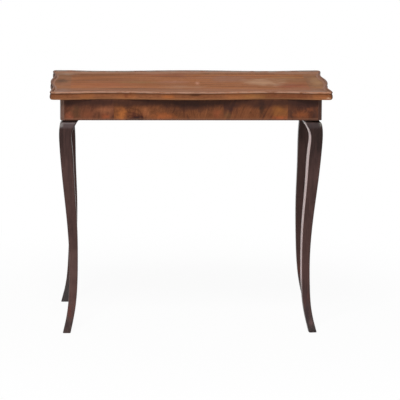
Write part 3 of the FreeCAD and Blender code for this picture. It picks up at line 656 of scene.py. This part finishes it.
class TEATABLE_OT_legs(bpy.types.Operator):
    """Stain and polish the four cabriole legs"""
    bl_idname = "teatable.legs"
    bl_label = "Legs"

    def execute(self, context):
        woods = context.scene.table_woods
        colour = woods.leg_colour
        # Beech under a dark brown stain and shellac: near black at the knee, where shade under the frieze
        # is painted in, browner and scuffed below.
        for way, leg in LEGS.items():
            material = new_material(f"dark_stained_beech_{way}")
            tree = material.node_tree
            place = add(tree, "TexCoord", out="Object")
            height = add(tree, "SeparateXYZ", {0: place}, out="Z")
            spot = along(tree, (0.0, math.radians(90), 0.0))
            streaks = cloudy(tree, swaying(tree, spot, 240.0, 30.0, 2.0), 160.0, 3.2, detail=3.0)
            patches = cloudy(tree, spot, 110.0, 24.0, detail=3.0)
            # The calf and knee steps darken the leg towards its top: painted shade under the frieze.
            toe, calf, knee = (mask(tree, (height, *LEG_HEIGHTS[part])) for part in ("toe", "calf", "knee"))
            tone = total(tree, (streaks, 0.8), (patches, 1.0), (calf, -0.1), (knee, -0.42), (toe, -0.45),
                         (1.0, leg["tone"]))
            wood = add(tree, "ValToRGB", {"Fac": tone}, stops=(
                (0.2, shade(colour, 0.45)), (0.5, shade(colour, 0.95)), (0.85, shade(colour, 1.6))))
            ruddy = mask(tree, *hump(height, *LEG_HEIGHTS["ruddy_shin"]),
                         (cloudy(tree, spot, 44.0, 14.0), 0.48, 0.62))
            wood = stain(tree, wood, linear("#6a3a2b"), ruddy, 0.35)
            # The beech's short rays show through as paler flecks, drawn 1.2 mm wide so that they show.
            flecks = mask(tree, (cloudy(tree, spot, 4.0, 1.2, detail=0.0), 0.62, 0.75))
            wood = stain(tree, wood, shade(colour, 1.9), flecks, 0.25)
            scuffs = mask(tree, (cloudy(tree, spot, 16.0, 5.0, detail=4.0), 0.56, 0.7),
                          (height, *LEG_HEIGHTS["scuffed_toe"]))
            wood = stain(tree, wood, linear("#7f6a62"), scuffs, 0.55)
            grey = mask(tree, (height, *LEG_HEIGHTS["grey_toe"]))
            wood = stain(tree, wood, linear("#4a4645"), grey, leg["grey_toe"])
            # Painted reflection: the turned leg's inner side is painted pale, as it mirrors the white
            # surroundings.
            if leg["painted_reflection_side"]:
                facing = add(tree, "TexCoord", out="Normal")
                inner = add(tree, "VectorMath", {0: facing, 1: REFLECTING_SIDE_FACES}, out="Value",
                            operation="DOT_PRODUCT")
                rub_and_reflection = mask(tree, (inner, 0.72, 0.88), (height, *LEG_HEIGHTS["painted_reflection_side"]))
                wood = stain(tree, wood, linear("#c4adab"), rub_and_reflection, leg["painted_reflection_side"])
            # Painted highlight: a grey band round the shoulder.
            shoulder_highlight = mask(tree, *hump(height, *LEG_HEIGHTS["painted_shoulder_highlight"]))
            wood = stain(tree, wood, linear("#6b6062"), shoulder_highlight, leg["painted_shoulder_highlight"])
            wood = mark(tree, wood, place, leg["marks"], streaks)
            # Painted shadow, with some dirt, in the joint under the frieze.
            joint_shadow = mask(tree, (height, *LEG_HEIGHTS["shadowed_joint"]))
            wood = stain(tree, wood, linear("#0d0706"), joint_shadow, 0.85)
            rough = total(tree, (scuffs, 0.3), (patches, 0.12), (streaks, 0.06), (1.0, 0.28))
            polish(tree, wood, rough, total(tree, (streaks, 0.5), (flecks, -0.5)), gloss=0.08, depth=0.03,
                   coat=0.5, coat_roughness=0.4)
            clothe(leg["names"], material)
        return {"FINISHED"}


# Pieces of bare pine, by the way that their length lies, and the turn that lays it along X.
PINE = {
    "lengthwise": (["top_board_front", "top_board_middle", "top_board_back", "rail_front", "rail_back",
                    "glue_blocks"], (0.0, 0.0, 0.0)),
    "crosswise": (["rail_left", "rail_right", "cross_brace", "end_batten_left", "end_batten_right"],
                  (0.0, 0.0, math.radians(90))),
    "upright": ([f"corner_post_{end}_{side}" for end in ("front", "back") for side in ("left", "right")],
                (0.0, math.radians(90), 0.0)),
}

# At this scale one ring of the wave texture is as wide as one cell.
ONE_RING_PER_CELL = 0.314


class TEATABLE_OT_bare_pine(bpy.types.Operator):
    """Finish the bare pine of the core and the frame"""
    bl_idname = "teatable.bare_pine"
    bl_label = "Bare pine"

    def execute(self, context):
        woods = context.scene.table_woods
        colour = woods.pine_colour
        ring = woods.ring_width / MM
        # Planed pine, never finished: gone brown and dusty, with darker late wood in each yearly ring.
        for way, (names, turn) in PINE.items():
            material = new_material(f"bare_pine_{way}")
            tree = material.node_tree
            spot = swaying(tree, along(tree, turn), 500.0, 60.0, 9.0)
            where = add(tree, "VectorMath", {0: spot, 1: per_metre(3000.0, ring, 4 * ring)},
                        operation="MULTIPLY")
            rings = add(tree, "TexWave", {"Vector": where, "Scale": ONE_RING_PER_CELL, "Distortion": 2.5,
                                          "Detail": 2.0, "Detail Scale": 0.3},
                        out="Fac", bands_direction="Y", wave_profile="SAW")
            # The fibres are drawn 1 mm wide so that they show.
            fibres = cloudy(tree, spot, 70.0, 1.0, detail=3.0)
            age = cloudy(tree, spot, 180.0, 90.0, detail=3.0)
            tone = total(tree, (rings, 0.42), (fibres, 0.4), (age, 0.5), (1.0, -0.12))
            wood = add(tree, "ValToRGB", {"Fac": tone}, stops=(
                (0.15, shade(colour, 1.2)), (0.55, shade(colour, 0.85)), (0.95, shade(colour, 0.42))))
            rough = total(tree, (fibres, 0.2), (1.0, 0.62))
            polish(tree, wood, rough, total(tree, (fibres, 1.0), (rings, -0.4)), gloss=0.2, depth=0.15)
            clothe(names, material)
        return {"FINISHED"}


class TEATABLE_OT_screws(bpy.types.Operator):
    """Finish the screws under the top"""
    bl_idname = "teatable.screws"
    bl_label = "Screws"

    def execute(self, context):
        # Plain steel wood screws, dulled grey-brown, with freckles of rust.
        material = new_material("dull_steel_screws")
        tree = material.node_tree
        spot = along(tree)
        rust = mask(tree, (cloudy(tree, spot, 2.5, 2.5, detail=4.0), 0.5, 0.68))
        metal = stain(tree, linear("#8a8682"), linear("#5b3422"), rust)
        normal = add(tree, "Bump", {"Height": rust, "Distance": 0.05 * MM}, out="Normal")
        shader = add(tree, "BsdfPrincipled", {
            "Base Color": metal, "Metallic": total(tree, (rust, -0.8), (1.0, 1.0)),
            "Roughness": total(tree, (rust, 0.4), (1.0, 0.35)), "Normal": normal})
        add(tree, "OutputMaterial", {"Surface": shader})
        clothe(["top_screws"], material)
        return {"FINISHED"}


# ---------------------------------------------------------------- stage

# How far the floor reaches from its middle, in metres.
FLOOR_REACH = 30.0

# Distances from the floor's middle, in metres, between which its glow grows, and its shares there.
FLOOR_GLOW = (0.5, 1.5, 0.945, 1.0)

# Lamps: place, what they aim at, and size, in metres.
LAMPS = {
    "top_lamp": ((-0.6, -3.2, 4.4), (0, 0, 0.6), 1.5),
    "left_lamp": ((-3.6, -3.2, 1.8), (0, 0, 0.5), 2.0),
    "right_lamp": ((3.6, -3.2, 1.8), (0, 0, 0.5), 2.0),
}


class TEATABLE_OT_studio(bpy.types.Operator):
    """Set up the floor, the lamps, the white surroundings and the camera"""
    bl_idname = "teatable.studio"
    bl_label = "Studio"

    def floor(self):
        """Pale floor: matt white paint, lifted towards white where it is seen, so only shadow shows."""
        mesh = bpy.data.meshes.new("studio_floor")
        corners = [(x * FLOOR_REACH, y * FLOOR_REACH, 0) for x, y in ((-1, -1), (1, -1), (1, 1), (-1, 1))]
        mesh.from_pydata(corners, [], [(0, 1, 2, 3)])
        floor = bpy.data.objects.new("studio_floor", mesh)
        bpy.context.scene.collection.objects.link(floor)
        material = new_material("matt_white_floor")
        tree = material.node_tree
        place = add(tree, "TexCoord", out="Object")
        paint = add(tree, "ValToRGB", {"Fac": cloudy(tree, place, 4.0, 4.0)},
                    stops=((0.0, linear("#e7e7e7")), (1.0, linear("#ececec"))))
        matt = add(tree, "BsdfDiffuse", {"Color": paint})
        glow = add(tree, "Emission", {"Color": WHITE, "Strength": 1.0})
        seen = add(tree, "LightPath", out="Is Camera Ray")
        mirrored = add(tree, "LightPath", out="Is Glossy Ray")
        seen = add(tree, "Math", {0: seen, 1: mirrored}, operation="MAXIMUM")
        far = add(tree, "VectorMath", {0: place}, out="Value", operation="LENGTH")
        share = add(tree, "Math", {0: seen, 1: mask(tree, (far, *FLOOR_GLOW))}, operation="MULTIPLY")
        add(tree, "OutputMaterial", {"Surface": add(tree, "MixShader", {0: share, 1: matt, 2: glow})})
        mesh.materials.append(material)

    def lamp(self, name, place, aim, size, power):
        """Square lamp that faces its aim."""
        data = bpy.data.lights.new(name, "AREA")
        data.shape = "SQUARE"
        data.size = size
        data.energy = power
        lamp = bpy.data.objects.new(name, data)
        lamp.location = place
        lamp.rotation_euler = (Vector(aim) - Vector(place)).to_track_quat("-Z", "Y").to_euler()
        bpy.context.scene.collection.objects.link(lamp)

    def surroundings(self, strength):
        """Even white from all round: full white where it is seen or mirrored, softer as light."""
        world = bpy.data.worlds.new("white_surroundings")
        bpy.context.scene.world = world
        world.use_nodes = True
        tree = world.node_tree
        tree.nodes.clear()
        seen = add(tree, "LightPath", out="Is Camera Ray")
        for ray in ("Is Glossy Ray", "Is Transmission Ray"):
            seen = add(tree, "Math", {0: seen, 1: add(tree, "LightPath", out=ray)}, operation="MAXIMUM")
        light = add(tree, "Background", {"Color": WHITE, "Strength": strength})
        white = add(tree, "Background", {"Color": WHITE, "Strength": 1.0})
        add(tree, "OutputWorld", {"Surface": add(tree, "MixShader", {0: seen, 1: light, 2: white})})

    def camera(self, studio):
        """Camera turned by its heading, dip and tilt."""
        data = bpy.data.cameras.new("studio_camera")
        data.sensor_width = 36
        data.lens = studio.camera_lens
        data.clip_end = 100
        camera = bpy.data.objects.new("studio_camera", data)
        turn = Matrix.Rotation(-studio.camera_heading, 3, "Z")
        turn = turn @ Matrix.Rotation(math.radians(90) - studio.camera_dip, 3, "X")
        turn = turn @ Matrix.Rotation(studio.camera_tilt, 3, "Z")
        camera.matrix_world = Matrix.Translation(studio.camera_place) @ turn.to_4x4()
        bpy.context.scene.collection.objects.link(camera)
        bpy.context.scene.camera = camera

    def execute(self, context):
        studio = context.scene.table_studio
        self.floor()
        for name, (place, aim, size) in LAMPS.items():
            self.lamp(name, place, aim, size, studio.top_lamp if name == "top_lamp" else studio.side_lamp)
        self.surroundings(studio.sky_light)
        self.camera(studio)
        context.scene.view_settings.view_transform = "Standard"
        return {"FINISHED"}


# ---------------------------------------------------------------- add-on

OPERATORS = (
    TEATABLE_OT_studio, TEATABLE_OT_field, TEATABLE_OT_crossbands, TEATABLE_OT_rims, TEATABLE_OT_frieze,
    TEATABLE_OT_quadrants, TEATABLE_OT_legs, TEATABLE_OT_bare_pine, TEATABLE_OT_screws,
)


class TEATABLE_PT_panel(bpy.types.Panel):
    """Sidebar panel with the table's settings and steps"""
    bl_idname = "TEATABLE_PT_panel"
    bl_label = "Tea Table"
    bl_space_type = "VIEW_3D"
    bl_region_type = "UI"
    bl_category = "Tea Table"

    def draw(self, context):
        layout = self.layout
        for group in (context.scene.table_woods, context.scene.table_studio):
            box = layout.box()
            for name in group.__annotations__:
                box.prop(group, name)
        for operator in OPERATORS:
            layout.operator(operator.bl_idname)


CLASSES = (TableWoods, TableStudio, *OPERATORS, TEATABLE_PT_panel)


def register():
    for kind in CLASSES:
        bpy.utils.register_class(kind)
    bpy.types.Scene.table_woods = bpy.props.PointerProperty(type=TableWoods)
    bpy.types.Scene.table_studio = bpy.props.PointerProperty(type=TableStudio)


def unregister():
    del bpy.types.Scene.table_studio
    del bpy.types.Scene.table_woods
    for kind in reversed(CLASSES):
        bpy.utils.unregister_class(kind)


def main():
    register()
    for operator in OPERATORS:
        group, name = operator.bl_idname.split(".")
        getattr(getattr(bpy.ops, group), name)()


if __name__ == "__main__":
    main()
